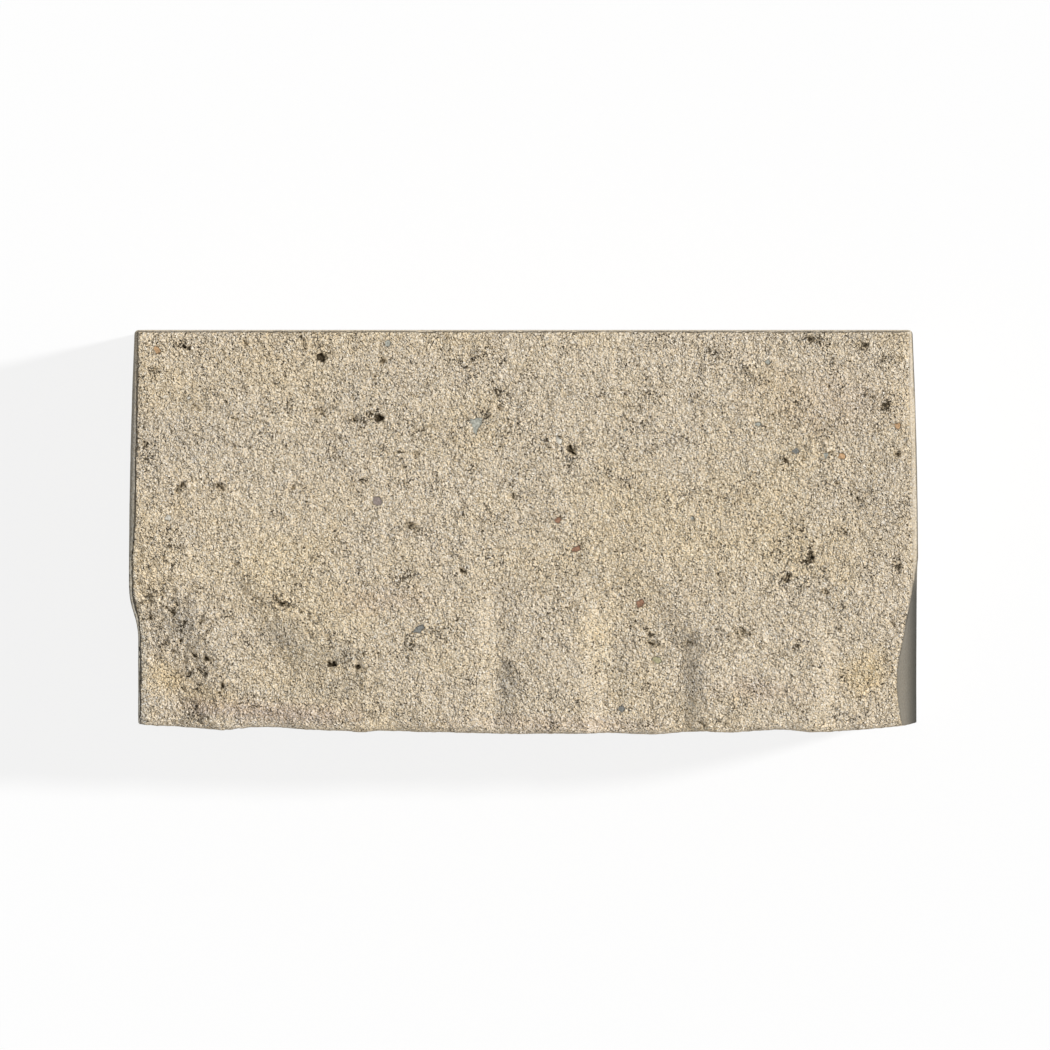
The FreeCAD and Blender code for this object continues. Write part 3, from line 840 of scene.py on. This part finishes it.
def concrete():
    """Sandy cast concrete: grains, crevices where the fines are missing, pits, stones, smooth sides, with
    painted shade in crevices, pits and round stones and painted light on taller crumbs.
    """
    n = ConcreteNodes("concrete")
    place = n.add("ShaderNodeTexCoord").outputs["Object"]
    bent = n.wander(place, 1.6, 1.6)
    rough = n.attribute("rough")
    pits = n.attribute("pits")
    crumbly = n.attribute("crumbly")
    bunch = n.attribute("bunch")
    tint_and_painted_shade = n.attribute("tint_and_painted_shade", "Color")

    crumb = n.crumb(bent)
    colour = n.sand(place, tint_and_painted_shade)
    # Taller crumbs paler, a painted light
    colour = n.times(colour, n.mix(n.maths("MULTIPLY", crumbly, crumb), WHITE, PAINTED_CRUMB_LIGHT))
    dark, dip = n.crevices(bent, bunch, pits, rough, crumbly)
    # Painted shade in pits, darker with depth, the deepest near black
    pit = n.ragged(pits, bent, 1.8, 2.4)
    deep = n.between(pit, *DEPTHS_OF_PAINTED_PIT_SHADE)
    colour = n.mix(n.between(pit, 0.2, 1.2, 0.0, 0.5), colour, PAINTED_PIT_WALL_SHADE)
    # Crevices near black, a painted shade
    colour = n.mix(n.maths("MULTIPLY", dark, 0.93), colour, PAINTED_CREVICE_SHADE)
    colour = n.mix(n.maths("MULTIPLY", deep, 0.93), colour, PAINTED_CREVICE_SHADE)
    plain = n.times(n.mix(0.5, SKIN_COLOUR, colour), tint_and_painted_shade)
    colour = n.mix(n.between(rough, 0.3, 0.9), plain, colour)
    colour = n.stones(place, bent, colour)

    height = n.height(bent, bunch, crumb, crumbly)
    height = n.maths("SUBTRACT", height, n.maths("MULTIPLY", dip, 0.9))
    height = n.maths("SUBTRACT", height, n.maths("MULTIPLY", deep, 0.5))
    height = n.maths("MULTIPLY", height, n.between(n.attribute("stone_inside"), -0.1, 0.1, 1.0, 0.25))
    height = n.maths("MULTIPLY", height, n.between(rough, 0.2, 1.0, 0.12, 1.0))
    bump = n.add("ShaderNodeBump", {"Height": height, "Strength": 1.0, "Distance": 1.0 * MM})

    inputs = {"Base Color": colour, "Roughness": 0.92, "Normal": bump.outputs["Normal"]}
    shader = n.add("ShaderNodeBsdfPrincipled", inputs)
    shader.inputs["Specular IOR Level"].default_value = 0.25
    output = n.add("ShaderNodeOutputMaterial")
    n.tree.links.new(shader.outputs[0], output.inputs[0])
    return n.material


def make_floor():
    """A plain pale floor that shows white to the camera and keeps a light shadow."""
    n = Nodes("floor")
    pale = n.add("ShaderNodeBsdfDiffuse", {"Color": (0.92, 0.92, 0.92, 1)})
    white = n.add("ShaderNodeEmission", {"Color": (1, 1, 1, 1), "Strength": 1.0})
    path = n.add("ShaderNodeLightPath")
    seen = n.maths("MAXIMUM", path.outputs["Is Camera Ray"], path.outputs["Is Glossy Ray"])
    seen = n.maths("MAXIMUM", seen, path.outputs["Is Transmission Ray"])
    share = n.maths("MULTIPLY", seen, FLOOR_WHITENESS)
    mixed = n.add("ShaderNodeMixShader", {0: share, 1: pale.outputs[0], 2: white.outputs[0]})
    output = n.add("ShaderNodeOutputMaterial")
    n.tree.links.new(mixed.outputs[0], output.inputs[0])
    mesh = bpy.data.meshes.new("floor")
    reach = FLOOR_REACH
    mesh.from_pydata(
        [(-reach, -reach, 0), (reach, -reach, 0), (reach, reach, 0), (-reach, reach, 0)], [], [(0, 1, 2, 3)]
    )
    mesh.materials.append(n.material)
    floor = bpy.data.objects.new("floor", mesh)
    bpy.context.scene.collection.objects.link(floor)
    floor.location.z = cad_low.z - 0.2 * MM


FLOOR_WHITENESS = 0.85
FLOOR_REACH = 30.0

# Light: a soft sun from the picture's right, a little towards its top, and an even sky
SUN_ELEVATION = 46
SUN_TURN = 13
SUN_SOFTNESS = 4
SKY_STRENGTH = 0.28


def make_light():
    lamp = bpy.data.lights.new("sun", "SUN")
    lamp.angle = math.radians(SUN_SOFTNESS)
    lamp.energy = (1 - SKY_STRENGTH) * math.pi / math.sin(math.radians(SUN_ELEVATION))
    sun = bpy.data.objects.new("sun", lamp)
    bpy.context.scene.collection.objects.link(sun)
    level = math.cos(math.radians(SUN_ELEVATION))
    towards = Vector(
        (
            level * math.cos(math.radians(SUN_TURN)),
            level * math.sin(math.radians(SUN_TURN)),
            math.sin(math.radians(SUN_ELEVATION)),
        )
    )
    sun.rotation_mode = "QUATERNION"
    sun.rotation_quaternion = towards.to_track_quat("Z", "Y")

    world = bpy.data.worlds.new("sky")
    world.use_nodes = True
    background = world.node_tree.nodes["Background"]
    background.inputs["Color"].default_value = (1, 1, 1, 1)
    background.inputs["Strength"].default_value = SKY_STRENGTH
    bpy.context.scene.world = world


def make_camera():
    """Straight above the block's top, far off, framed as in the photograph."""
    camera = bpy.data.cameras.new("camera")
    camera.sensor_width = SENSOR
    width = PHOTO_PIXELS * MM_PER_PIXEL * MM
    camera.lens = SENSOR * CAMERA_DISTANCE / width
    camera.clip_end = 100
    holder = bpy.data.objects.new("camera", camera)
    bpy.context.scene.collection.objects.link(holder)
    x, y = at_pixel(PHOTO_PIXELS / 2, PHOTO_PIXELS / 2)
    holder.location = (x, y, TOP + CAMERA_DISTANCE)
    bpy.context.scene.camera = holder


block = make_block()
block.data.materials.clear()
block.data.materials.append(concrete())
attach(block, "root")
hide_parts("wall_block")

make_floor()
make_light()
make_camera()
bpy.context.scene.view_settings.view_transform = "Standard"
